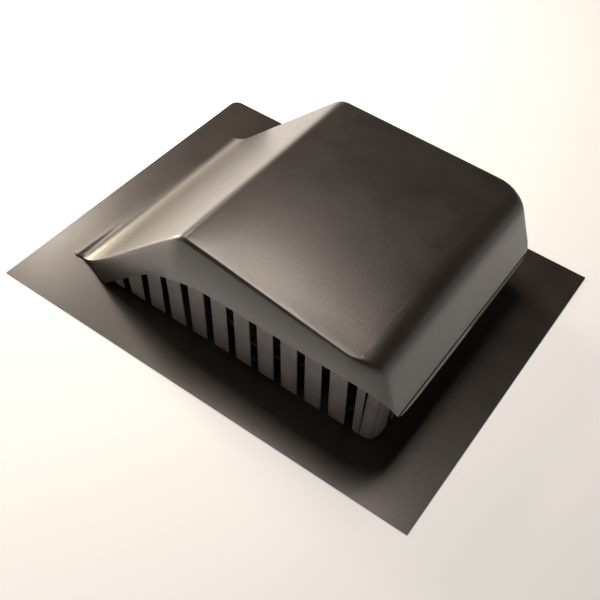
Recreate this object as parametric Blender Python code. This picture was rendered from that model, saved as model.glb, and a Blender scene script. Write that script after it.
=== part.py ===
"""Slant-back roof vent in painted sheet metal, lying flat.

Metres, +Z up, +X down the roof slope. The origin is the centre of the flashing's underside.
"""

import math

import bmesh
import bpy
from mathutils import Vector

# Driving dimensions
FLANGE_LENGTH = 0.445
FLANGE_WIDTH = 0.355
FLANGE_CORNER_RADIUS = 0.003
FLANGE_ROUND_CORNER_RADIUS = 0.009
SHEET = 0.0008
GAP = 0.0003

THROAT_RADIUS = 0.1016
THROAT_X = 0.0223
COLLAR_HEIGHT = 0.025
COLLAR_FOOT_RADIUS = 0.1165
COLLAR_LIP_RADIUS = 0.1105
COLLAR_BEND = 0.0020
RING_INNER_RADIUS = 0.0985
SCREEN_WIRE = 0.0011
SCREEN_STRAND_WIDTH = 0.0022
SCREEN_PITCH = 0.0203
SCREEN_RADIUS = 0.1040
SCREEN_TRIM = 0.0004

APRON_EDGE_X = -0.190
FOOT_X = -0.1715
SLANT_TOP_X = -0.0525
SHOULDER_X = 0.1330
SLANT_TOP_Z = 0.1166
SHOULDER_Z = 0.1050
FOOT_HALF_WIDTH = 0.1195
SLANT_TOP_HALF_WIDTH = 0.1190
SHOULDER_HALF_WIDTH = 0.1313
PLAN_CORNER_RADIUS = 0.012
SLANT_FOOT_BEND = 0.011
FLAT_BEFORE_FOOT = 0.0085
BEND_HALF_LENGTH = 0.010
SLANT_TOP_BEND = 0.008
RIDGE_RADIUS = 0.004
RIDGE_TURN = 62
LIP_RADIUS = 0.050
LIP_TURN = 88
SHOULDER_RADIUS = 0.0245
SHOULDER_TURN = 70
FRONT_WALL_LENGTH = 0.0455
LIP_DROP = 0.0300
LIP_EDGE_Z = 0.0850
LIP_EDGE_SLOPE = 0.034
LIP_BEND = 0.039
CORNER_TUCK = 0.0025

LOUVRE_HALF_WIDTH = 0.1242
LOUVRE_FRONT_X = 0.1560
LOUVRE_FOOT_Z = 0.0042
LOUVRE_CORNER_RADIUS = 0.010
LOUVRE_CORNER_RETURN = 0.0035
FRONT_SLOT_TOP_Z = 0.0520
FRONT_RAIL_TOP_Z = 0.0660
RAIL_HEIGHT = 0.010
RAIL_DEPTH_SHARE = 0.45
RAIL_TUCK_FROM_X = 0.115
RAIL_TUCK = 9.0
SLOT_TOP_ABOVE_LIP = 0.0016
SLOT_PITCH = 0.0247
SLOT_WIDTH = 0.0082
LAST_SLOT_X = 0.1310
SIDE_SLOTS = 11
FRONT_SLOTS = 9
UPHILL_END_BAR = 0.012
DOWNHILL_END_BAR = 0.0068

RIVET_RADIUS = 0.0016
RIVET_HEAD_RADIUS = 0.0034
RIVET_HEAD_HEIGHT = 0.0012

FLANGE_TOP = SHEET
APRON_SEAL_THICKNESS = 0.0005
APRON_SEAL_WIDTH = 0.0048
APRON_SEAL_INSET = 0.003
APRON_SEAL_SETBACK = 0.0012
APRON_TOP = FLANGE_TOP + APRON_SEAL_THICKNESS + 2 * GAP + SHEET


def clear_scene():
    for obj in list(bpy.data.objects):
        bpy.data.objects.remove(obj, do_unlink=True)


def paint(name, colour, roughness, metallic):
    material = bpy.data.materials.new(name)
    material.use_nodes = True
    shader = material.node_tree.nodes["Principled BSDF"]
    shader.inputs["Base Color"].default_value = (*colour, 1.0)
    shader.inputs["Roughness"].default_value = roughness
    shader.inputs["Metallic"].default_value = metallic
    return material


def add_object(name, mesh, material, location=(0, 0, 0)):
    obj = bpy.data.objects.new(name, mesh)
    obj.location = location
    mesh.materials.clear()
    mesh.materials.append(material)
    bpy.context.scene.collection.objects.link(obj)
    return obj


def mesh_of(name, bm, smooth_angle=35):
    bmesh.ops.recalc_face_normals(bm, faces=bm.faces)
    mesh = bpy.data.meshes.new(name)
    bm.to_mesh(mesh)
    bm.free()
    mesh.shade_smooth()
    mesh.set_sharp_from_angle(angle=math.radians(smooth_angle))
    return mesh


def add_solidify(obj, thickness, offset=-1.0):
    modifier = obj.modifiers.new("sheet", "SOLIDIFY")
    modifier.thickness = thickness
    modifier.offset = offset
    modifier.use_even_offset = True
    return modifier


def cut_with(obj, cutter):
    modifier = obj.modifiers.new("cut " + cutter.name, "BOOLEAN")
    modifier.operation = "DIFFERENCE"
    modifier.solver = "EXACT"
    modifier.object = cutter


def add_hole_cutter(name, places, radius, low, high, segments=10):
    """One hidden mesh of vertical cylinders, one at each place."""
    bm = bmesh.new()
    for x, y in places:
        made = bmesh.ops.create_cone(
            bm, cap_ends=True, segments=segments, radius1=radius, radius2=radius, depth=high - low
        )
        bmesh.ops.translate(bm, verts=made["verts"], vec=(x, y, (low + high) / 2))
    mesh = bpy.data.meshes.new(name)
    bm.to_mesh(mesh)
    bm.free()
    cutter = bpy.data.objects.new(name, mesh)
    cutter.hide_render = True
    cutter.display_type = "WIRE"
    bpy.context.scene.collection.objects.link(cutter)
    return cutter


# The hood's form, as functions of x along the slope


def slant_line(x):
    slope = (SLANT_TOP_Z - APRON_TOP) / (SLANT_TOP_X - FOOT_X)
    return APRON_TOP + slope * (x - FOOT_X)


def top_line(x):
    return SLANT_TOP_Z + (SHOULDER_Z - SLANT_TOP_Z) * (x - SLANT_TOP_X) / (SHOULDER_X - SLANT_TOP_X)


def soft_max(a, b, radius):
    """The larger of two values, with a smooth passage where they cross."""
    h = max(0.0, radius - abs(a - b)) / radius
    return max(a, b) + h * h * radius / 4


def hood_top_z(x):
    rising = soft_max(APRON_TOP, slant_line(x), SLANT_FOOT_BEND)
    return -soft_max(-rising, -top_line(x), SLANT_TOP_BEND)


def hood_half_width(x):
    if x < SLANT_TOP_X:
        t = max(0.0, x - FOOT_X) / (SLANT_TOP_X - FOOT_X)
        return FOOT_HALF_WIDTH + t * (SLANT_TOP_HALF_WIDTH - FOOT_HALF_WIDTH)
    t = (x - SLANT_TOP_X) / (SHOULDER_X - SLANT_TOP_X)
    return SLANT_TOP_HALF_WIDTH + t * (SHOULDER_HALF_WIDTH - SLANT_TOP_HALF_WIDTH)


def arc_points(arcs, steps):
    """Offset and drop along tangent arcs, each given as radius, start angle and end angle."""
    points = [(0.0, 0.0)]
    for (radius, start, end), count in zip(arcs, steps):
        out, down = points[-1]
        a = math.radians(start)
        for i in range(1, count + 1):
            b = math.radians(start + (end - start) * i / count)
            points.append(
                (out + radius * (math.sin(b) - math.sin(a)), down + radius * (math.cos(a) - math.cos(b)))
            )
    return points


def side_skirt():
    """A crisp ridge, then a shallow bulging lip."""
    return arc_points([(RIDGE_RADIUS, 0, RIDGE_TURN), (LIP_RADIUS, RIDGE_TURN, LIP_TURN)], (3, 5))


def front_skirt():
    """A large shoulder, then a straight wall leaning outwards."""
    points = arc_points([(SHOULDER_RADIUS, 0, SHOULDER_TURN)], (5,))
    out, down = points[-1]
    lean = math.radians(SHOULDER_TURN)
    for i in range(1, 4):
        step = FRONT_WALL_LENGTH * i / 3
        points.append((out + step * math.cos(lean), down + step * math.sin(lean)))
    return points


SIDE_PROFILE = side_skirt()
FRONT_PROFILE = front_skirt()
LIP_DEPTH = SIDE_PROFILE[-1][1]


def lip_depth(x):
    """The lip's edge follows the slant, bends gently and runs on nearly level, down to the flange."""
    level = LIP_EDGE_Z + LIP_EDGE_SLOPE * (x - SHOULDER_X)
    edge = -soft_max(LIP_DROP - slant_line(x), -level, LIP_BEND)
    return hood_top_z(x) - max(edge, FLANGE_TOP + GAP)


def crease_path():
    """Stations along the near side's ridge: place, turn from side to front, and whether a skirt hangs."""
    x = FOOT_X - FLAT_BEFORE_FOOT
    stations = [(APRON_EDGE_X, False), (x, False)]
    corner_start = SHOULDER_X - PLAN_CORNER_RADIUS
    fine_step, slant_step, bend_step = 0.0042, 0.0098, 0.0034
    runs = (
        (fine_step, FOOT_X + SLANT_FOOT_BEND),
        (slant_step, SLANT_TOP_X - BEND_HALF_LENGTH),
        (bend_step, SLANT_TOP_X + BEND_HALF_LENGTH),
    )
    for step, until in runs:
        while x < until - step / 2:
            x += step
            stations.append((x, True))
    remaining = corner_start - x
    stations += [(x + remaining * i / 7, True) for i in range(1, 8)]
    path = []
    for x, skirted in stations:
        path.append((Vector((x, -hood_half_width(x), hood_top_z(x))), 0.0, skirted))
    centre_y = -hood_half_width(corner_start) + PLAN_CORNER_RADIUS
    for i in range(1, 8):
        turn = 90 * i / 7
        a = math.radians(turn)
        x = corner_start + PLAN_CORNER_RADIUS * math.sin(a)
        y = centre_y - PLAN_CORNER_RADIUS * math.cos(a)
        path.append((Vector((x, y, hood_top_z(x))), turn, True))
    return path


def skirt_point(place, turn, row):
    """One point of the skirt, a row down from the ridge: turn is 0 on a side and 90 on the front."""
    (out_side, down_side), (out_front, down_front) = SIDE_PROFILE[row], FRONT_PROFILE[row]
    share = (turn / 90) ** 1.5
    scale = lip_depth(place.x) / LIP_DEPTH
    down = (1 - share) * down_side * scale + share * down_front
    a = math.radians(turn)
    side = -1 if place.y < 0 else 1
    out = Vector((math.sin(a) * out_front, side * math.cos(a) * out_side * scale, 0))
    tuck = CORNER_TUCK * math.sin(2 * a) * (row / (len(SIDE_PROFILE) - 1)) ** 2
    return place + out - Vector((tuck, side * tuck, down))


def hood_surface():
    """The hood's outer skin: rows across the top, and skirt rows below the ridge on three sides."""
    near = crease_path()
    across = 4
    bm = bmesh.new()
    rows = []
    for place, _, _ in near:
        ys = [place.y * (1 - 2 * j / across) for j in range(across + 1)]
        rows.append([bm.verts.new((place.x, y, place.z)) for y in ys])
    for lower, upper in zip(rows, rows[1:]):
        for j in range(across):
            bm.faces.new((lower[j], lower[j + 1], upper[j + 1], upper[j]))
    rim = [(rows[i][0], near[i][1], near[i][2]) for i in range(1, len(near))]
    rim += [(rows[-1][j], 90, True) for j in range(1, across)]
    rim += [(rows[i][-1], near[i][1], near[i][2]) for i in range(len(near) - 1, 0, -1)]
    columns = []
    for vert, turn, skirted in rim:
        column = [vert]
        for k in range(1, len(SIDE_PROFILE)):
            column.append(bm.verts.new(skirt_point(vert.co, turn, k)) if skirted else vert)
        columns.append(column)
    for left, right in zip(columns, columns[1:]):
        for k in range(len(SIDE_PROFILE) - 1):
            corners = []
            for vert in (left[k], left[k + 1], right[k + 1], right[k]):
                if vert not in corners:
                    corners.append(vert)
            if len(corners) > 2:
                bm.faces.new(corners)
    return bm


def build_hood(material):
    mesh = mesh_of("hood", hood_surface(), 30)
    obj = add_object("hood", mesh, material)
    add_solidify(obj, SHEET)
    return obj


def rounded_rectangle(bm, length, width, radii, z, steps=5):
    """A flat outline with its own radius at each corner, starting downhill on the near side."""
    verts = []
    corners = ((1, -1, -90), (1, 1, 0), (-1, 1, 90), (-1, -1, 180))
    for (sx, sy, start), radius in zip(corners, radii):
        cx, cy = sx * (length / 2 - radius), sy * (width / 2 - radius)
        for i in range(steps + 1):
            a = math.radians(start + 90 * i / steps)
            verts.append(bm.verts.new((cx + radius * math.cos(a), cy + radius * math.sin(a), z)))
    return verts


def ring_places(count, radius, first_angle):
    places = []
    for i in range(count):
        a = math.radians(first_angle + 360 * i / count)
        places.append((THROAT_X + radius * math.cos(a), radius * math.sin(a)))
    return places


COLLAR_RIVET_PLACES = ring_places(6, 0.1110, 31)
SCREEN_RIVET_PLACES = ring_places(4, 0.1070, 46)
LEG_PLACES = {"left": (0.1180, -0.0930), "right": (0.1180, 0.0930)}
LEG_WIDTH = 0.020
LEG_FOOT = 0.0170
LEG_RIVET_SPACING = 0.010
LEG_RIVET_FROM_UPRIGHT = 0.0095
LEG_BEND = 0.0015
LEG_TAB = 0.014


def leg_rivet_places():
    places = []
    for x, y in LEG_PLACES.values():
        side = 1 if y > 0 else -1
        for step in (-0.5, 0.5):
            places.append((x + step * LEG_RIVET_SPACING, y + side * LEG_RIVET_FROM_UPRIGHT))
    return places


def build_base_flange(material):
    small = FLANGE_CORNER_RADIUS
    radii = (small, small, FLANGE_ROUND_CORNER_RADIUS, small)
    bm = bmesh.new()
    outline = rounded_rectangle(bm, FLANGE_LENGTH, FLANGE_WIDTH, radii, 0.0)
    face = bm.faces.new(outline)
    made = bmesh.ops.extrude_face_region(bm, geom=[face])
    lifted = [v for v in made["geom"] if isinstance(v, bmesh.types.BMVert)]
    bmesh.ops.translate(bm, verts=lifted, vec=(0, 0, SHEET))
    obj = add_object("base_flange", mesh_of("base_flange", bm), material)
    throat = add_hole_cutter(
        "throat_cutter", [(THROAT_X, 0)], THROAT_RADIUS - SHEET, -0.01, 0.01, segments=48
    )
    cut_with(obj, throat)
    rivets = COLLAR_RIVET_PLACES + leg_rivet_places()
    cut_with(obj, add_hole_cutter("flange_rivet_cutter", rivets, RIVET_RADIUS + GAP, -0.01, 0.01))
    return obj


def turned(name, profile, material, segments=48):
    """A ring turned about the throat's axis from a closed profile of radius and height."""
    bm = bmesh.new()
    rings = []
    for i in range(segments):
        a = 2 * math.pi * i / segments
        rings.append([bm.verts.new((r * math.cos(a), r * math.sin(a), z)) for r, z in profile])
    for i, ring in enumerate(rings):
        other = rings[(i + 1) % segments]
        for k in range(len(profile)):
            m = (k + 1) % len(profile)
            bm.faces.new((ring[k], other[k], other[m], ring[m]))
    return add_object(name, mesh_of(name, bm), material, (THROAT_X, 0, 0))


def build_throat_collar(material):
    low = FLANGE_TOP + GAP
    inner, outer = THROAT_RADIUS - SHEET, THROAT_RADIUS
    bend = COLLAR_BEND
    profile = [
        (COLLAR_FOOT_RADIUS, low),
        (COLLAR_FOOT_RADIUS, low + SHEET),
        (outer + bend, low + SHEET),
        (outer, low + SHEET + bend),
        (outer, COLLAR_HEIGHT - SHEET),
        (COLLAR_LIP_RADIUS, COLLAR_HEIGHT - SHEET),
        (COLLAR_LIP_RADIUS, COLLAR_HEIGHT),
        (inner, COLLAR_HEIGHT),
        (inner, low + bend),
        (inner + bend, low),
    ]
    obj = turned("throat_collar", profile, material)
    cutter_places = [(x - THROAT_X, y) for x, y in COLLAR_RIVET_PLACES]
    foot = add_hole_cutter("collar_foot_cutter", cutter_places, RIVET_RADIUS + GAP, -0.01, 0.01)
    lip_places = [(x - THROAT_X, y) for x, y in SCREEN_RIVET_PLACES]
    lip = add_hole_cutter("collar_lip_cutter", lip_places, RIVET_RADIUS + GAP, 0.02, 0.03)
    for cutter in (foot, lip):
        cutter.location.x = THROAT_X
        cut_with(obj, cutter)
    return obj


def build_insect_screen(material):
    """A coarse square mesh whose strands run out to the screen's edge, under the ring that clamps it."""
    cells = int(2 * SCREEN_RADIUS / SCREEN_PITCH)
    start = -cells / 2 * SCREEN_PITCH
    lines = []
    for i in range(cells + 1):
        centre = start + i * SCREEN_PITCH
        lines += [centre - SCREEN_STRAND_WIDTH / 2, centre + SCREEN_STRAND_WIDTH / 2]
    reach = SCREEN_RADIUS - SCREEN_TRIM
    bm = bmesh.new()
    grid = {}

    def corner(i, j):
        if (i, j) not in grid:
            grid[(i, j)] = bm.verts.new((lines[i], lines[j], 0.0))
        return grid[(i, j)]

    def inside(i, j):
        return math.hypot(lines[i], lines[j]) < reach

    def wire_end(i, j, along_x):
        """A strand's last stretch, cut where it leaves the circle."""
        across = j if along_x else i
        along = i if along_x else j
        limit = math.sqrt(max(0.0, reach**2 - max(abs(lines[across]), abs(lines[across + 1])) ** 2))
        outward = 1 if lines[along] + lines[along + 1] > 0 else -1
        inner = along if outward > 0 else along + 1
        if limit - abs(lines[inner]) < SCREEN_WIRE:
            return
        ends = [(outward * limit, lines[across + k]) for k in (1, 0)]
        if along_x:
            near = [corner(inner, across), corner(inner, across + 1)]
            far = [bm.verts.new((a, b, 0.0)) for a, b in ends]
        else:
            near = [corner(across, inner), corner(across + 1, inner)]
            far = [bm.verts.new((b, a, 0.0)) for a, b in ends]
        bm.faces.new(near + far)

    for i in range(len(lines) - 1):
        for j in range(len(lines) - 1):
            crossing = i % 2 == 0 and j % 2 == 0
            if i % 2 and j % 2:
                continue
            corners = [(i, j), (i + 1, j), (i + 1, j + 1), (i, j + 1)]
            if all(inside(*c) for c in corners):
                bm.faces.new([corner(*c) for c in corners])
            elif not crossing and sum(inside(*c) for c in corners) >= 2:
                wire_end(i, j, along_x=j % 2 == 0)
    mesh = mesh_of("insect_screen", bm)
    middle = COLLAR_HEIGHT + GAP + SCREEN_WIRE / 2
    obj = add_object("insect_screen", mesh, material, (THROAT_X, 0, middle))
    add_solidify(obj, SCREEN_WIRE, offset=0.0)
    return obj


def build_screen_ring(material):
    low = COLLAR_HEIGHT + 2 * GAP + SCREEN_WIRE
    profile = [
        (RING_INNER_RADIUS, low),
        (RING_INNER_RADIUS, low + SHEET),
        (COLLAR_LIP_RADIUS, low + SHEET),
        (COLLAR_LIP_RADIUS, low),
    ]
    obj = turned("screen_ring", profile, material)
    places = [(x - THROAT_X, y) for x, y in SCREEN_RIVET_PLACES]
    cutter = add_hole_cutter("ring_cutter", places, RIVET_RADIUS + GAP, low - 0.003, low + 0.003)
    cutter.location.x = THROAT_X
    cut_with(obj, cutter)
    return obj


def rivet_mesh(name, seat, bottom):
    """A domed head that sits on the seat, with a shank down to its flush end."""
    profile = [(0.0, bottom), (RIVET_RADIUS, bottom), (RIVET_RADIUS, seat), (RIVET_HEAD_RADIUS, seat)]
    for i in range(1, 4):
        a = math.radians(90 * i / 3)
        profile.append((RIVET_HEAD_RADIUS * math.cos(a), seat + RIVET_HEAD_HEIGHT * math.sin(a)))
    bm = bmesh.new()
    segments = 8
    rings = []
    for r, z in profile:
        if r < 1e-6:
            rings.append([bm.verts.new((0, 0, z))])
            continue
        ring = []
        for i in range(segments):
            a = 2 * math.pi * i / segments
            ring.append(bm.verts.new((r * math.cos(a), r * math.sin(a), z)))
        rings.append(ring)
    for lower, upper in zip(rings, rings[1:]):
        for i in range(segments):
            m = (i + 1) % segments
            corners = []
            for vert in (
                lower[i % len(lower)],
                lower[m % len(lower)],
                upper[m % len(upper)],
                upper[i % len(upper)],
            ):
                if vert not in corners:
                    corners.append(vert)
            bm.faces.new(corners)
    return mesh_of(name, bm)


def build_rivets(prefix, places, seat, bottom, material):
    mesh = rivet_mesh(prefix, seat, bottom)
    for i, (x, y) in enumerate(places, 1):
        add_object(f"{prefix}_{i}", mesh, material, (x, y, 0))


def build_apron_seal(material):
    low = FLANGE_TOP + GAP
    size = Vector((APRON_SEAL_WIDTH, 2 * (FOOT_HALF_WIDTH - APRON_SEAL_INSET), APRON_SEAL_THICKNESS))
    bm = bmesh.new()
    bmesh.ops.create_cube(bm, size=1)
    bmesh.ops.scale(bm, verts=bm.verts, vec=size)
    centre = Vector((APRON_EDGE_X + APRON_SEAL_SETBACK + size.x / 2, 0, low + size.z / 2))
    return add_object("apron_seal", mesh_of("apron_seal", bm), material, centre)


def louvre_rail(x):
    """Where the bars' rail meets the lip's inner face: distance from the middle, and height."""
    depth = lip_depth(x)
    scale = depth / LIP_DEPTH
    height = min(RAIL_HEIGHT, RAIL_DEPTH_SHARE * depth)
    low_out, low_down = SIDE_PROFILE[0]
    for out, down in SIDE_PROFILE[1:]:
        if down * scale >= depth - height:
            share = ((depth - height) / scale - low_down) / (down - low_down)
            break
        low_out, low_down = out, down
    reach = scale * (low_out + share * (out - low_out))
    corner_tuck = RAIL_TUCK * max(0.0, x - RAIL_TUCK_FROM_X) ** 2
    half = hood_half_width(x) + reach - SHEET - 2 * GAP - corner_tuck
    return half, hood_top_z(x) - depth + height


def build_louvre_side(name, side, material):
    """A comb of bars that hangs from a rail behind the hood's lip and leans in to the flange."""
    edges = []
    for k in range(SIDE_SLOTS):
        centre = LAST_SLOT_X - k * SLOT_PITCH
        edges += [(centre + SLOT_WIDTH / 2, True), (centre - SLOT_WIDTH / 2, False)]
    uphill_end, downhill_end = edges[-1][0] - UPHILL_END_BAR, edges[0][0] + DOWNHILL_END_BAR
    stations = [(downhill_end, False)] + edges + [(uphill_end, False)]
    bm = bmesh.new()
    columns = []
    for x, _ in stations:
        rail_half, rail_z = louvre_rail(x)
        foot_half = min(LOUVRE_HALF_WIDTH, rail_half - 2 * GAP)
        slot_top = hood_top_z(x) - lip_depth(x) + SLOT_TOP_ABOVE_LIP
        share = (slot_top - LOUVRE_FOOT_Z) / (rail_z - LOUVRE_FOOT_Z)
        slot_half = foot_half + share * (rail_half - foot_half)
        levels = ((foot_half, LOUVRE_FOOT_Z), (slot_half, slot_top), (rail_half, rail_z))
        columns.append([bm.verts.new((x, side * half, z)) for half, z in levels])
    for i in range(len(stations) - 1):
        for k in range(2):
            if k == 0 and stations[i][1]:
                continue
            left, right = columns[i], columns[i + 1]
            bm.faces.new((left[k], left[k + 1], right[k + 1], right[k]))
    bmesh.ops.recalc_face_normals(bm, faces=bm.faces)
    outward = sum((f.normal.y * side for f in bm.faces))
    if outward < 0:
        bmesh.ops.reverse_faces(bm, faces=bm.faces)
    mesh = bpy.data.meshes.new(name)
    bm.to_mesh(mesh)
    bm.free()
    obj = add_object(name, mesh, material)
    add_solidify(obj, SHEET)
    return obj


def build_louvre_front(material):
    """The same bars across the downhill end, wrapped round both corners."""
    radius = LOUVRE_CORNER_RADIUS
    corner_x = LOUVRE_FRONT_X - radius
    corner_y = LOUVRE_HALF_WIDTH - radius
    outline = []
    for i in range(5):
        a = math.radians(90 * i / 4)
        outline.append((corner_x + radius * math.sin(a), -corner_y - radius * math.cos(a), False))
    outline.insert(0, (corner_x - LOUVRE_CORNER_RETURN, -LOUVRE_HALF_WIDTH, False))
    for k in range(FRONT_SLOTS):
        centre = (k - (FRONT_SLOTS - 1) / 2) * SLOT_PITCH
        outline.append((LOUVRE_FRONT_X, centre - SLOT_WIDTH / 2, True))
        outline.append((LOUVRE_FRONT_X, centre + SLOT_WIDTH / 2, False))
    mirrored = [(x, -y, False) for x, y, _ in reversed(outline[:6])]
    outline += mirrored
    levels = (LOUVRE_FOOT_Z, FRONT_SLOT_TOP_Z, FRONT_RAIL_TOP_Z)
    bm = bmesh.new()
    columns = [[bm.verts.new((x, y, z)) for z in levels] for x, y, _ in outline]
    for i in range(len(outline) - 1):
        for k in range(len(levels) - 1):
            if k == 0 and outline[i][2]:
                continue
            left, right = columns[i], columns[i + 1]
            bm.faces.new((left[k], right[k], right[k + 1], left[k + 1]))
    mesh = bpy.data.meshes.new("louvre_front")
    bm.to_mesh(mesh)
    bm.free()
    obj = add_object("louvre_front", mesh, material)
    add_solidify(obj, SHEET)
    return obj


def build_leg(name, place, material):
    """A folded strip: a foot riveted to the flange, an upright, and a tab under the hood's top."""
    x, y = place
    side = 1 if y > 0 else -1
    low = FLANGE_TOP + GAP
    high = top_line(x + LEG_WIDTH / 2) - SHEET - 2 * GAP - SHEET
    tilt = (top_line(x + LEG_WIDTH / 2) - top_line(x - LEG_WIDTH / 2)) / LEG_WIDTH
    line = [
        (y + side * LEG_FOOT, low, 0),
        (y + side * LEG_BEND, low, 0),
        (y, low + LEG_BEND, 0),
        (y, high - LEG_BEND, 1),
        (y - side * LEG_BEND, high, 1),
        (y - side * LEG_TAB, high, 1),
    ]
    bm = bmesh.new()
    columns = []
    for step in (-0.5, 0.5):
        dx = step * LEG_WIDTH
        columns.append(
            [bm.verts.new((x + dx, yy, z + top * tilt * (dx - LEG_WIDTH / 2))) for yy, z, top in line]
        )
    for k in range(len(line) - 1):
        bm.faces.new((columns[0][k], columns[0][k + 1], columns[1][k + 1], columns[1][k]))
    bmesh.ops.recalc_face_normals(bm, faces=bm.faces)
    foot = min(bm.faces, key=lambda f: f.calc_center_median().z)
    if foot.normal.z < 0:
        bmesh.ops.reverse_faces(bm, faces=bm.faces)
    mesh = bpy.data.meshes.new(name)
    bm.to_mesh(mesh)
    bm.free()
    obj = add_object(name, mesh, material)
    add_solidify(obj, SHEET, offset=1.0)
    places = [(px, py) for px, py in leg_rivet_places() if py * side > 0]
    cutter = add_hole_cutter(name + "_cutter", places, RIVET_RADIUS + GAP, -0.01, 0.01)
    cut_with(obj, cutter)
    return obj


def main():
    clear_scene()
    brown = paint("painted_sheet", (0.060, 0.045, 0.036), 0.34, 0.35)
    bars = paint("louvre_paint", (0.085, 0.075, 0.068), 0.42, 0.35)
    bare = paint("bare_aluminium", (0.55, 0.55, 0.54), 0.38, 1.0)
    mesh_wire = paint("screen_wire", (0.35, 0.35, 0.34), 0.45, 1.0)
    butyl = paint("butyl_seal", (0.020, 0.020, 0.021), 0.75, 0.0)

    build_base_flange(brown)
    build_hood(brown)
    build_apron_seal(butyl)
    build_louvre_side("louvre_left", -1, bars)
    build_louvre_side("louvre_right", 1, bars)
    build_louvre_front(bars)
    build_throat_collar(bare)
    build_insect_screen(mesh_wire)
    build_screen_ring(bare)
    for side, place in LEG_PLACES.items():
        build_leg("hood_leg_" + side, place, bare)
    seat = FLANGE_TOP + GAP + SHEET + GAP
    build_rivets("collar_rivet", COLLAR_RIVET_PLACES, seat, GAP, bare)
    build_rivets("leg_rivet", leg_rivet_places(), seat, GAP, bare)
    ring_top = COLLAR_HEIGHT + 2 * GAP + SCREEN_WIRE + SHEET
    build_rivets("screen_rivet", SCREEN_RIVET_PLACES, ring_top + GAP, COLLAR_HEIGHT - SHEET, bare)


main()
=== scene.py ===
import math

import bpy
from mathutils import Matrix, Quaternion, Vector


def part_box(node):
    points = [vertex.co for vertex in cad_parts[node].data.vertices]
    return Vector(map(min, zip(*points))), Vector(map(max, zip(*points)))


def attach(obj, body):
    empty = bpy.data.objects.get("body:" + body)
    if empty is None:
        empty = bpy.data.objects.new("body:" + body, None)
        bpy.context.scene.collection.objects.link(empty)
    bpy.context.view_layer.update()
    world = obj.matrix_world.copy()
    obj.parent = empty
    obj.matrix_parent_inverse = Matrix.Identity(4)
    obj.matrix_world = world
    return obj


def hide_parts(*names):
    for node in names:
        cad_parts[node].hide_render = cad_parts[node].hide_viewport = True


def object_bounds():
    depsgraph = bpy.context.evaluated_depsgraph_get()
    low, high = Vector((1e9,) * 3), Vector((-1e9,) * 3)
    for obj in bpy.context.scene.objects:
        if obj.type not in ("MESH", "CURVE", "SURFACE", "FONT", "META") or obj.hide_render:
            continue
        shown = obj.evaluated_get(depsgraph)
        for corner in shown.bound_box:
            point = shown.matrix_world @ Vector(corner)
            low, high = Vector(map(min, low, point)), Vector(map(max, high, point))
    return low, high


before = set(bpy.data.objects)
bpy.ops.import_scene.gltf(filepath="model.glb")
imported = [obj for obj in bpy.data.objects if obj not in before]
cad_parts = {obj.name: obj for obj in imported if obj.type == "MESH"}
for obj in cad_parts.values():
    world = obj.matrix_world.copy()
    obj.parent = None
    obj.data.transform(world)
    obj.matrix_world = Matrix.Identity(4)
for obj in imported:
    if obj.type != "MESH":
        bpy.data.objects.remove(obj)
cadLow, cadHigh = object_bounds()
print("frame loaded:", len(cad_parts), "CAD nodes")


# small helpers


def makeActive(piece):
    if bpy.context.mode != "OBJECT":
        bpy.ops.object.mode_set(mode="OBJECT")
    bpy.ops.object.select_all(action="DESELECT")
    piece.select_set(True)
    bpy.context.view_layer.objects.active = piece


def newest(name):
    piece = bpy.context.active_object
    piece.name = name
    piece.data.name = name
    return piece


def editAll(piece):
    makeActive(piece)
    bpy.ops.object.mode_set(mode="EDIT")
    bpy.ops.mesh.select_all(action="SELECT")


def startSelecting(piece, kind):
    # edit mode for vertices, edges or faces, with none of them selected
    makeActive(piece)
    bpy.ops.object.mode_set(mode="EDIT")
    bpy.ops.mesh.select_mode(type=kind)
    bpy.ops.mesh.select_all(action="DESELECT")


def selectFaces(piece, wanted):
    # leaves the piece in edit mode with only the wanted faces selected
    startSelecting(piece, "FACE")
    bpy.ops.object.mode_set(mode="OBJECT")
    for face in piece.data.polygons:
        face.select = wanted(face.center, face.normal)
    bpy.ops.object.mode_set(mode="EDIT")


def applyModifiers(piece):
    makeActive(piece)
    for modifier in list(piece.modifiers):
        bpy.ops.object.modifier_apply(modifier=modifier.name)


def addSubdivision(piece, levels):
    modifier = piece.modifiers.new("smooth", "SUBSURF")
    modifier.levels = levels
    modifier.render_levels = levels


def addThickness(piece, thickness, offset):
    modifier = piece.modifiers.new("sheet", "SOLIDIFY")
    modifier.thickness = thickness
    modifier.offset = offset
    modifier.use_even_offset = True


def addBevel(piece, width, segments, degrees):
    modifier = piece.modifiers.new("edge", "BEVEL")
    modifier.width = width
    modifier.segments = segments
    modifier.limit_method = "ANGLE"
    modifier.angle_limit = math.radians(degrees)


def smoothByAngle(piece, degrees):
    makeActive(piece)
    bpy.ops.object.shade_smooth_by_angle(angle=math.radians(degrees))


joining = {"distance": 0.00001, "faceAngle": 30, "shapeAngle": 60}


def mergedCopy(nodeName, pieceName):
    # a CAD node's own shape, with its loose triangles joined back into a sheet of quads
    piece = bpy.data.objects.new(pieceName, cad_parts[nodeName].data.copy())
    piece.data.name = pieceName
    bpy.context.scene.collection.objects.link(piece)
    makeActive(piece)
    bpy.ops.mesh.customdata_custom_splitnormals_clear()
    editAll(piece)
    bpy.ops.mesh.remove_doubles(threshold=joining["distance"])
    bpy.ops.mesh.normals_make_consistent(inside=False)
    bpy.ops.mesh.tris_convert_to_quads(
        face_threshold=math.radians(joining["faceAngle"]), shape_threshold=math.radians(joining["shapeAngle"])
    )
    bpy.ops.object.mode_set(mode="OBJECT")
    return piece


def finishPiece(piece, material, slotName, *nodeNames):
    makeActive(piece)
    bpy.ops.object.transform_apply(location=True, rotation=True, scale=True)
    piece.data.materials.clear()
    piece.data.materials.append(material)
    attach(piece, "root")
    if nodeNames:
        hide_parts(*nodeNames)


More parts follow.
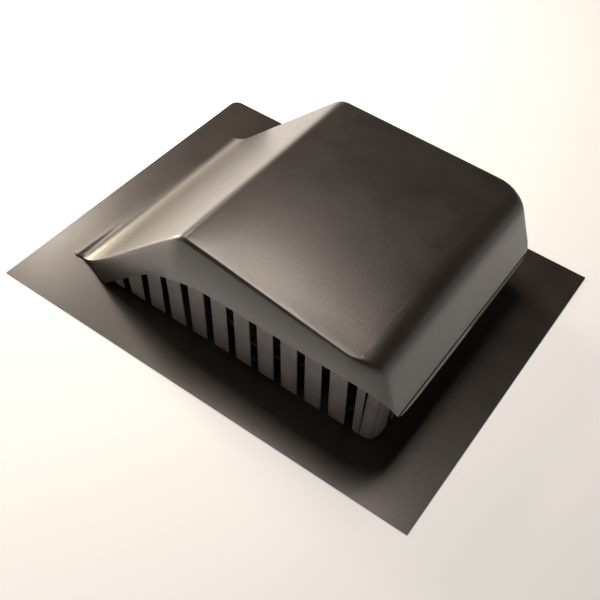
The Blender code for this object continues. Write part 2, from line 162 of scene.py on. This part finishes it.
# finishes: a noise is scale, detail and roughness, a bump is depth and strength, and a blend is
# the noise value that gives the dark colour and the one that gives the light colour

noiseRange = (0.3, 0.7)  # where most values of a noise lie


def startMaterial(name):
    material = bpy.data.materials.new(name)
    material.use_nodes = True
    nodes, links = material.node_tree.nodes, material.node_tree.links
    place = nodes.new("ShaderNodeTexCoord")
    return material, nodes, links, nodes["Principled BSDF"], place.outputs["Object"]


def addNoise(nodes, links, place, scale, detail=3.0, roughness=0.5):
    noise = nodes.new("ShaderNodeTexNoise")
    noise.inputs["Scale"].default_value = scale
    noise.inputs["Detail"].default_value = detail
    noise.inputs["Roughness"].default_value = roughness
    links.new(place, noise.inputs["Vector"])
    return noise.outputs["Fac"]


def addRamp(nodes, links, value, blend, dark, light):
    ramp = nodes.new("ShaderNodeValToRGB")
    for element, position, colour in zip(ramp.color_ramp.elements, blend, (dark, light)):
        element.position = position
        element.color = (*colour, 1.0)
    links.new(value, ramp.inputs["Fac"])
    return ramp.outputs["Color"]


def addRange(nodes, links, value, low, high):
    mapped = nodes.new("ShaderNodeMapRange")
    mapped.inputs["From Min"].default_value = noiseRange[0]
    mapped.inputs["From Max"].default_value = noiseRange[1]
    mapped.inputs["To Min"].default_value = low
    mapped.inputs["To Max"].default_value = high
    links.new(value, mapped.inputs["Value"])
    return mapped.outputs["Result"]


def addBump(nodes, links, value, distance, strength, under=None):
    bump = nodes.new("ShaderNodeBump")
    bump.inputs["Distance"].default_value = distance
    bump.inputs["Strength"].default_value = strength
    links.new(value, bump.inputs["Height"])
    if under is not None:
        links.new(under, bump.inputs["Normal"])
    return bump.outputs["Normal"]


sheetPaint = {
    "dark": (0.026, 0.0200, 0.0155),
    "light": (0.036, 0.0285, 0.0220),
    "blend": (0.35, 0.68),
    "roughness": (0.35, 0.41),
    "ior": 1.7,
    "coat": 0.6,
    "coatRoughness": 0.22,
    "mottle": (22.0, 4.0, 0.6),
    "orangePeel": (420.0, 2.0),
    "orangePeelBump": (0.0002, 0.5),
    "wave": (9.0, 1.0),
    "waveBump": (0.0012, 0.07),
}


def makeSheetPaint():
    material, nodes, links, shader, place = startMaterial("bronzeSheetPaint")
    mottle = addNoise(nodes, links, place, *sheetPaint["mottle"])
    colour = addRamp(nodes, links, mottle, sheetPaint["blend"], sheetPaint["dark"], sheetPaint["light"])
    links.new(colour, shader.inputs["Base Color"])
    links.new(addRange(nodes, links, mottle, *sheetPaint["roughness"]), shader.inputs["Roughness"])
    shader.inputs["IOR"].default_value = sheetPaint["ior"]
    shader.inputs["Coat Weight"].default_value = sheetPaint["coat"]
    shader.inputs["Coat Roughness"].default_value = sheetPaint["coatRoughness"]
    wave = addNoise(nodes, links, place, *sheetPaint["wave"])
    broad = addBump(nodes, links, wave, *sheetPaint["waveBump"])  # thin sheet is never quite flat
    peel = addNoise(nodes, links, place, *sheetPaint["orangePeel"])
    links.new(addBump(nodes, links, peel, *sheetPaint["orangePeelBump"], broad), shader.inputs["Normal"])
    return material


barPaint = {
    "dark": (0.120, 0.108, 0.102),
    "light": (0.165, 0.150, 0.142),
    "blend": (0.35, 0.68),
    "roughness": (0.38, 0.50),
    "mottle": (60.0, 4.0, 0.6),
    "grain": (500.0, 2.0),
    "grainBump": (0.0001, 0.3),
}


def makeBarPaint():
    material, nodes, links, shader, place = startMaterial("louvreBarPaint")
    mottle = addNoise(nodes, links, place, *barPaint["mottle"])
    colour = addRamp(nodes, links, mottle, barPaint["blend"], barPaint["dark"], barPaint["light"])
    links.new(colour, shader.inputs["Base Color"])
    links.new(addRange(nodes, links, mottle, *barPaint["roughness"]), shader.inputs["Roughness"])
    grain = addNoise(nodes, links, place, *barPaint["grain"])
    links.new(addBump(nodes, links, grain, *barPaint["grainBump"]), shader.inputs["Normal"])
    return material


bareMetal = {
    "dark": (0.46, 0.46, 0.45),
    "light": (0.62, 0.62, 0.61),
    "blend": (0.3, 0.7),
    "roughness": (0.30, 0.48),
    "streaks": (1.0, 14.0, 1.0),
    # painted shade: this brightness darkens the bare metal far below mill aluminium, so the collar, ring,
    # rivets and legs read as the shade under the hood
    "sheetShadeBrightness": 0.22,
    "sheetNoise": (60.0, 5.0, 0.65),
    "wireBrightness": 0.20,
    "wireNoise": (300.0, 5.0, 0.65),
    "bump": (0.00005, 0.3),
}


def makeBareMetal(name, brightness, noise):
    material, nodes, links, shader, place = startMaterial(name)
    streaks = nodes.new("ShaderNodeMapping")
    streaks.inputs["Scale"].default_value = bareMetal["streaks"]  # rolling lines run along the sheet
    links.new(place, streaks.inputs["Vector"])
    rolled = addNoise(nodes, links, streaks.outputs["Vector"], *noise)
    dark = [level * brightness for level in bareMetal["dark"]]
    light = [level * brightness for level in bareMetal["light"]]
    links.new(addRamp(nodes, links, rolled, bareMetal["blend"], dark, light), shader.inputs["Base Color"])
    links.new(addRange(nodes, links, rolled, *bareMetal["roughness"]), shader.inputs["Roughness"])
    shader.inputs["Metallic"].default_value = 1.0
    links.new(addBump(nodes, links, rolled, *bareMetal["bump"]), shader.inputs["Normal"])
    return material


butyl = {
    "dark": (0.014, 0.014, 0.015),
    "light": (0.030, 0.030, 0.032),
    "blend": (0.3, 0.7),
    "roughness": 0.7,
    "lumps": (240.0, 4.0),
    "lumpBump": (0.0004, 0.6),
}


def makeButyl():
    material, nodes, links, shader, place = startMaterial("butylSealant")
    lumps = addNoise(nodes, links, place, *butyl["lumps"])
    colour = addRamp(nodes, links, lumps, butyl["blend"], butyl["dark"], butyl["light"])
    links.new(colour, shader.inputs["Base Color"])
    shader.inputs["Roughness"].default_value = butyl["roughness"]
    links.new(addBump(nodes, links, lumps, *butyl["lumpBump"]), shader.inputs["Normal"])
    return material


sheetFinish = makeSheetPaint()
barFinish = makeBarPaint()
# painted shade: the collar, ring, rivets and legs get bare metal darkened to the shade inside the hood
metalDarkenedAsShade = makeBareMetal("millAluminiumPaintedShade", bareMetal["sheetShadeBrightness"], bareMetal["sheetNoise"])
wireFinish = makeBareMetal("screenWire", bareMetal["wireBrightness"], bareMetal["wireNoise"])
butylFinish = makeButyl()
print("finishes made")


# the flashing flange, with the throat hole punched in it

flange = {
    "cornerRadius": 0.009,
    "cornerSegments": 10,
    "edgeRadius": 0.00025,
    "edgeSegments": 2,
    "edgeAngle": 60,
    "holeRadius": 0.1010,
    "holeSegments": 160,
    "cutterDepth": 0.02,
    "smoothAngle": 15,
}


def makeFlange():
    low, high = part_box("base_flange")
    collarLow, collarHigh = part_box("throat_collar")
    throat = Vector(((collarLow.x + collarHigh.x) / 2, 0, 0))
    bpy.ops.object.select_all(action="DESELECT")
    bpy.ops.mesh.primitive_plane_add(size=1, location=(0, 0, high.z))
    piece = newest("baseFlange")
    piece.scale = (high.x - low.x, high.y - low.y, 1)
    bpy.ops.object.transform_apply(scale=True)
    # the far corner on the uphill side is cut round
    startSelecting(piece, "VERT")
    bpy.ops.object.mode_set(mode="OBJECT")
    for vertex in piece.data.vertices:
        vertex.select = vertex.co.x < 0 < vertex.co.y
    bpy.ops.object.mode_set(mode="EDIT")
    bpy.ops.mesh.bevel(offset=flange["cornerRadius"], segments=flange["cornerSegments"], affect="VERTICES")
    bpy.ops.object.mode_set(mode="OBJECT")
    addThickness(piece, high.z - low.z, -1)
    bpy.ops.mesh.primitive_cylinder_add(
        vertices=flange["holeSegments"],
        radius=flange["holeRadius"],
        depth=flange["cutterDepth"],
        location=throat,
    )
    cutter = bpy.context.active_object
    hole = piece.modifiers.new("throat", "BOOLEAN")
    hole.operation = "DIFFERENCE"
    hole.object = cutter
    addBevel(piece, flange["edgeRadius"], flange["edgeSegments"], flange["edgeAngle"])
    applyModifiers(piece)
    bpy.data.objects.remove(cutter)
    smoothByAngle(piece, flange["smoothAngle"])  # keeps the wide flat faces flat right up to their edges
    finishPiece(piece, sheetFinish, "painted_sheet", "base_flange")


makeFlange()
print("flange made")


# the pressed hood, with a folded hem along its downhill edge

hood = {
    "rimAngle": 70,
    "levels": 2,
    "crown": 0.0036,
    "crownHalfWidth": 0.120,
    "crownStart": -0.055,
    "crownEnd": 0.165,
    "crownRun": 0.050,
    "hemHeight": 0.0042,
    "hemStep": 0.0007,
    "frontFacing": 0.6,
    "frontDepth": 0.02,
    "frontEdge": 0.002,
    "smoothAngle": 50,
}


def addCrown(piece):
    # the pressed top stands a little higher in the middle than at its ridges
    for vertex in piece.data.vertices:
        place = vertex.co
        across = 1 - (place.y / hood["crownHalfWidth"]) ** 2
        along = min(place.x - hood["crownStart"], hood["crownEnd"] - place.x) / hood["crownRun"]
        if across > 0 and along > 0:
            share = min(1.0, along)
            easing = share * share * (3 - 2 * share)  # starts and ends level
            place.z += hood["crown"] * across * easing


def makeHood():
    piece = mergedCopy("hood", "hoodShell")
    startSelecting(piece, "EDGE")
    bpy.ops.mesh.edges_select_sharp(sharpness=math.radians(hood["rimAngle"]))
    bpy.ops.transform.edge_crease(value=1)
    bpy.ops.object.mode_set(mode="OBJECT")
    addSubdivision(piece, hood["levels"])
    applyModifiers(piece)
    addCrown(piece)
    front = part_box("hood")[1].x
    frontEdge = [vertex.co.z for vertex in piece.data.vertices if vertex.co.x > front - hood["frontEdge"]]
    hemTop = min(frontEdge) + hood["hemHeight"]

    def isFrontOutside(centre, normal):
        return normal.x > hood["frontFacing"] and centre.x > front - hood["frontDepth"]

    selectFaces(piece, isFrontOutside)
    bpy.ops.mesh.bisect(plane_co=(0, 0, hemTop), plane_no=(0, 0, 1))
    selectFaces(piece, lambda centre, normal: isFrontOutside(centre, normal) and centre.z < hemTop)
    bpy.ops.mesh.extrude_region_shrink_fatten(TRANSFORM_OT_shrink_fatten={"value": hood["hemStep"]})
    bpy.ops.object.mode_set(mode="OBJECT")
    smoothByAngle(piece, hood["smoothAngle"])
    finishPiece(piece, sheetFinish, "painted_sheet", "hood")


makeHood()
print("hood made")


# louvre panels: flat strips with each bar pressed out a little

louvres = {
    "facing": 0.75,
    "barTop": 0.05,
    "edgeWidth": 0.0014,
    "edgeStep": 0.0008,
    "crownWidth": 0.0026,
    "crownStep": 0.0005,
    "smoothAngle": 45,
}


def makeLouvre(nodeName, pieceName, outward):
    piece = mergedCopy(nodeName, pieceName)

    def isBar(centre, normal):
        return normal.dot(outward) > louvres["facing"] and centre.z < louvres["barTop"]

    selectFaces(piece, isBar)
    for width, step in (("edgeWidth", "edgeStep"), ("crownWidth", "crownStep")):
        bpy.ops.mesh.inset(thickness=louvres[width], depth=louvres[step], use_individual=True)
    bpy.ops.object.mode_set(mode="OBJECT")
    smoothByAngle(piece, louvres["smoothAngle"])
    finishPiece(piece, barFinish, "louvre_paint", nodeName)


makeLouvre("louvre_left", "louvreLeft", Vector((0, -1, 0)))
makeLouvre("louvre_right", "louvreRight", Vector((0, 1, 0)))
makeLouvre("louvre_front", "louvreFront", Vector((1, 0, 0)))
print("louvres made")


# throat collar and the ring that clamps the screen

turned = {"segments": 160, "edgeRadius": 0.00012, "edgeSegments": 1, "edgeAngle": 60, "smoothAngle": 40}
collar = {"sheet": 0.0008, "bend": 0.0020, "bendSteps": 3, "tubeRadius": 0.1012, "lipRadius": 0.1105}
ring = {"middleRadius": 0.1040, "innerRadius": 0.0985}


def extrudeRing(radius, height, state):
    # pulls the selected ring to a new radius and height about the throat's axis
    bpy.ops.mesh.extrude_region_move(TRANSFORM_OT_translate={"value": (0, 0, height - state["height"])})
    factor = radius / state["radius"]
    bpy.ops.transform.resize(value=(factor, factor, 1), center_override=(state["x"], 0, 0))
    state.update(radius=radius, height=height)


def makeTurned(pieceName, nodeName, line, thickness, slotName, finish):
    low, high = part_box(nodeName)
    state = {"x": (low.x + high.x) / 2, "radius": line[0][0], "height": line[0][1]}
    bpy.ops.object.select_all(action="DESELECT")
    bpy.ops.mesh.primitive_circle_add(
        vertices=turned["segments"], radius=state["radius"], location=(state["x"], 0, state["height"])
    )
    piece = newest(pieceName)
    bpy.ops.object.transform_apply(location=True)
    bpy.ops.object.mode_set(mode="EDIT")
    bpy.ops.mesh.select_mode(type="EDGE")
    bpy.ops.mesh.select_all(action="SELECT")
    for radius, height in line[1:]:
        extrudeRing(radius, height, state)
    bpy.ops.mesh.select_all(action="SELECT")
    bpy.ops.mesh.normals_make_consistent(inside=False)
    bpy.ops.object.mode_set(mode="OBJECT")
    addThickness(piece, thickness, 0)
    addBevel(piece, turned["edgeRadius"], turned["edgeSegments"], turned["edgeAngle"])
    applyModifiers(piece)
    smoothByAngle(piece, turned["smoothAngle"])
    finishPiece(piece, finish, slotName, nodeName)


def makeCollar():
    low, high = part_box("throat_collar")
    half, bend, tube = collar["sheet"] / 2, collar["bend"], collar["tubeRadius"]
    foot = (high.x - low.x) / 2
    turns = [math.radians(90 * (step + 1) / collar["bendSteps"]) for step in range(collar["bendSteps"])]
    line = [(foot, low.z + half), (tube + bend, low.z + half)]
    for turn in turns:
        line.append((tube + bend * (1 - math.sin(turn)), low.z + half + bend * (1 - math.cos(turn))))
    line.append((tube, high.z - half - bend))
    for turn in turns:
        line.append((tube + bend * (1 - math.cos(turn)), high.z - half - bend * (1 - math.sin(turn))))
    line.append((collar["lipRadius"], high.z - half))
    makeTurned("throatCollar", "throat_collar", line, collar["sheet"], "bare_aluminium", metalDarkenedAsShade)


def makeRing():
    low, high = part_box("screen_ring")
    middle = (low.z + high.z) / 2
    line = [((high.x - low.x) / 2, middle), (ring["middleRadius"], middle), (ring["innerRadius"], middle)]
    makeTurned("screenRing", "screen_ring", line, high.z - low.z, "bare_aluminium", metalDarkenedAsShade)


makeCollar()
makeRing()
print("collar and ring made")


# woven insect screen

screen = {"pitch": 0.0032, "wire": 0.00026, "weave": 0.95, "fewestCells": 2}


def makeScreen():
    low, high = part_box("insect_screen")
    centre = (low + high) / 2
    radius = (high.x - low.x) / 2
    count = int(radius / screen["pitch"])
    curve = bpy.data.curves.new("insectScreen", "CURVE")
    curve.dimensions = "3D"
    curve.bevel_depth = screen["wire"]
    curve.bevel_resolution = 0
    curve.use_fill_caps = True
    for direction in (0, 1):
        for i in range(-count, count + 1):
            across = i * screen["pitch"]
            reach = math.sqrt(max(0.0, radius**2 - across**2))
            cells = int(reach / screen["pitch"])
            if cells < screen["fewestCells"]:
                continue
            steps = 2 * cells
            spline = curve.splines.new("POLY")
            spline.points.add(steps)
            for k in range(steps + 1):
                along = (k - cells) * screen["pitch"]
                over = 1 if (k - cells + i + direction) % 2 else -1
                x, y = (along, across) if direction == 0 else (across, along)
                z = centre.z + over * screen["wire"] * screen["weave"]
                spline.points[k].co = (centre.x + x, centre.y + y, z, 1)
    piece = bpy.data.objects.new("insectScreen", curve)
    bpy.context.scene.collection.objects.link(piece)
    makeActive(piece)
    bpy.ops.object.convert(target="MESH")
    piece = bpy.context.active_object
    finishPiece(piece, wireFinish, "screen_wire", "insect_screen")


makeScreen()
print("screen woven")


# blind rivets: one is modelled and copied

rivet = {
    "segments": 24,
    "rings": 12,
    "headHeight": 0.0012,
    "shankShare": 0.47,
    "shankLength": 0.0019,
    "dimple": 0.0003,
    "dimpleFrom": 0.98,
    "downward": -0.9,
    "smoothAngle": 40,
    "groups": [
        ("collar_rivet", "collarRivet", 6),
        ("leg_rivet", "legRivet", 4),
        ("screen_rivet", "screenRivet", 4),
    ],
}


def makeRivetPattern():
    low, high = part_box("collar_rivet_1")
    radius, headHeight = (high.x - low.x) / 2, rivet["headHeight"]
    bpy.ops.object.select_all(action="DESELECT")
    bpy.ops.mesh.primitive_uv_sphere_add(
        segments=rivet["segments"], ring_count=rivet["rings"], radius=1, location=(0, 0, 0)
    )
    piece = newest("rivetPattern")
    editAll(piece)
    bpy.ops.mesh.bisect(plane_co=(0, 0, 0), plane_no=(0, 0, 1), clear_inner=True, use_fill=True)
    bpy.ops.mesh.select_all(action="SELECT")
    bpy.ops.transform.resize(value=(radius, radius, headHeight), center_override=(0, 0, 0))
    bpy.ops.object.mode_set(mode="OBJECT")
    # the shank goes down through the sheets
    selectFaces(piece, lambda centre, normal: normal.z < rivet["downward"])
    bpy.ops.mesh.inset(thickness=radius * (1 - rivet["shankShare"]))
    bpy.ops.mesh.extrude_region_move(TRANSFORM_OT_translate={"value": (0, 0, -rivet["shankLength"])})
    bpy.ops.object.mode_set(mode="OBJECT")
    # a small dimple where the pulling pin broke off
    for vertex in piece.data.vertices:
        if vertex.co.z > headHeight * rivet["dimpleFrom"]:
            vertex.co.z -= rivet["dimple"]
    smoothByAngle(piece, rivet["smoothAngle"])
    return piece


def makeRivets():
    pattern = makeRivetPattern()
    for nodePrefix, piecePrefix, count in rivet["groups"]:
        for i in range(1, count + 1):
            nodeName = f"{nodePrefix}_{i}"
            low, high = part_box(nodeName)
            copy = pattern.copy()
            copy.data = pattern.data.copy()
            copy.name = f"{piecePrefix}{i}"
            copy.location = ((low.x + high.x) / 2, (low.y + high.y) / 2, high.z - rivet["headHeight"])
            bpy.context.scene.collection.objects.link(copy)
            finishPiece(copy, metalDarkenedAsShade, "bare_aluminium", nodeName)
    bpy.data.objects.remove(pattern)


makeRivets()
print("rivets placed")


# carried-over CAD nodes keep their shape and get a finish

carriedOver = {"hood_leg_left": metalDarkenedAsShade, "hood_leg_right": metalDarkenedAsShade, "apron_seal": butylFinish}
for nodeName, finish in carriedOver.items():
    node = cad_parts[nodeName]
    node.data.materials.clear()
    node.data.materials.append(finish)
print("CAD nodes finished")


# floor, light and camera

studio = {
    "floorSize": 30.0,
    "floorDrop": 0.0003,
    "paleColour": (0.88, 0.87, 0.86),
    "roughness": 0.9,
    "blend": (0.3, 0.7),
    "floorNoise": 3.0,
    "floorShade": 0.99,
    # the floor gives off a little light of its own, most of it uphill of the vent
    "glowUphill": (-0.35, (0.66, 0.645, 0.61)),
    "glowDownhill": (0.40, (0.36, 0.355, 0.345)),
    "wallRadius": 14.0,
    "wallHeight": 5.0,
    "wallSegments": 96,
    "wallNoise": 2.0,
    "wallShade": 0.97,
    "wallGlow": (0.12, 0.118, 0.112),
    "roomColour": (0.80, 0.84, 0.90),
    "roomLight": 0.01,
    # soft panels: where each stands, its width and depth, and how bright its face is; those overhead
    # look straight down, and the low ones face the height given on the vent's axis
    "panels": [
        {"name": "uphillTop", "place": (-1.02, 0.48, 0.9), "size": (0.26, 0.26), "level": 20.0},
        {"name": "uphillCorner", "place": (-1.5, 0.95, 0.9), "size": (0.36, 0.36), "level": 2.2},
        {"name": "farTop", "place": (-0.28, 0.2, 0.9), "size": (0.28, 0.4), "level": 9.2},
        {"name": "farTopRight", "place": (-0.05, 0.17, 0.9), "size": (0.22, 0.32), "level": 6.8},
        {"name": "ridgeTop", "place": (-0.05, -0.35, 0.9), "size": (0.3, 0.26), "level": 1.2},
        {"name": "lowUphill", "place": (-1.19, 0.15, 0.18), "size": (0.52, 0.3), "level": 19.0, "faces": 0.1},
        {"name": "lowFar", "place": (-0.98, 0.6, 0.18), "size": (0.6, 0.3), "level": 1.8, "faces": 0.1},
        {"name": "lowNear", "place": (-0.7, -1.2, 0.3), "size": (0.6, 0.4), "level": 0.5, "faces": 0.05},
    ],
    "topColour": (1.0, 0.86, 0.75),
    "lowColour": (1.0, 0.83, 0.61),
}
view = {
    "location": (0.3053, -0.5308, 0.6546),
    "target": (0.0347, -0.0634, 0.045),
    "roll": 6.75,
    "lens": 54.96,
    "sensor": 36.0,
}


def startPaleMaterial(name, noise, shade):
    material, nodes, links, shader, place = startMaterial(name)
    pale = studio["paleColour"]
    shaded = [level * shade for level in pale]
    patches = addNoise(nodes, links, place, noise)
    links.new(addRamp(nodes, links, patches, studio["blend"], shaded, pale), shader.inputs["Base Color"])
    shader.inputs["Roughness"].default_value = studio["roughness"]
    shader.inputs["Emission Strength"].default_value = 1.0
    return material, nodes, links, shader, place


def makeFloor():
    bpy.ops.object.select_all(action="DESELECT")
    bpy.ops.mesh.primitive_plane_add(
        size=studio["floorSize"], location=(0, 0, cadLow.z - studio["floorDrop"])
    )
    floor = newest("floor")
    material, nodes, links, shader, place = startPaleMaterial(
        "paleFloor", studio["floorNoise"], studio["floorShade"]
    )
    split = nodes.new("ShaderNodeSeparateXYZ")
    links.new(place, split.inputs["Vector"])
    fade = nodes.new("ShaderNodeMapRange")
    (uphill, uphillGlow), (downhill, downhillGlow) = studio["glowUphill"], studio["glowDownhill"]
    fade.inputs["From Min"].default_value = uphill
    fade.inputs["From Max"].default_value = downhill
    links.new(split.outputs["X"], fade.inputs["Value"])
    glow = addRamp(nodes, links, fade.outputs["Result"], (0.0, 1.0), uphillGlow, downhillGlow)
    links.new(glow, shader.inputs["Emission Color"])
    floor.data.materials.append(material)


def makeWall():
    # a pale wall all round, too low to show in the vent's flat faces
    height = studio["wallHeight"]
    bpy.ops.object.select_all(action="DESELECT")
    bpy.ops.mesh.primitive_cylinder_add(
        vertices=studio["wallSegments"],
        radius=studio["wallRadius"],
        depth=height,
        end_fill_type="NOTHING",
        location=(0, 0, height / 2),
    )
    wall = newest("backdrop")
    material, _, _, shader, _ = startPaleMaterial("paleWall", studio["wallNoise"], studio["wallShade"])
    shader.inputs["Emission Color"].default_value = (*studio["wallGlow"], 1.0)
    wall.data.materials.append(material)


def makeLights():
    for panel in studio["panels"]:
        lamp = bpy.data.lights.new(panel["name"], "AREA")
        lamp.shape = "RECTANGLE"
        lamp.size, lamp.size_y = panel["size"]
        lamp.energy = panel["level"] * math.pi * lamp.size * lamp.size_y
        lamp.color = studio["lowColour" if "faces" in panel else "topColour"]
        light = bpy.data.objects.new(panel["name"], lamp)
        light.location = panel["place"]
        if "faces" in panel:
            towards = Vector((0, 0, panel["faces"])) - Vector(panel["place"])
            light.rotation_mode = "QUATERNION"
            light.rotation_quaternion = towards.to_track_quat("-Z", "Y")
        bpy.context.scene.collection.objects.link(light)
    world = bpy.data.worlds.new("studioRoom")
    world.use_nodes = True
    background = world.node_tree.nodes["Background"]
    background.inputs["Color"].default_value = (*studio["roomColour"], 1.0)
    background.inputs["Strength"].default_value = studio["roomLight"]
    bpy.context.scene.world = world


def makeCamera():
    data = bpy.data.cameras.new("camera")
    data.lens = view["lens"]
    data.sensor_width = view["sensor"]
    camera = bpy.data.objects.new("camera", data)
    camera.location = view["location"]
    camera.rotation_mode = "QUATERNION"
    looking = (Vector(view["target"]) - Vector(view["location"])).to_track_quat("-Z", "Y")
    camera.rotation_quaternion = looking @ Quaternion((0, 0, 1), math.radians(view["roll"]))
    bpy.context.scene.collection.objects.link(camera)
    bpy.context.scene.camera = camera


makeFloor()
makeWall()
makeLights()
makeCamera()
settings = bpy.context.scene.view_settings
settings.view_transform = "Standard"
settings.look = "None"
print("studio set")
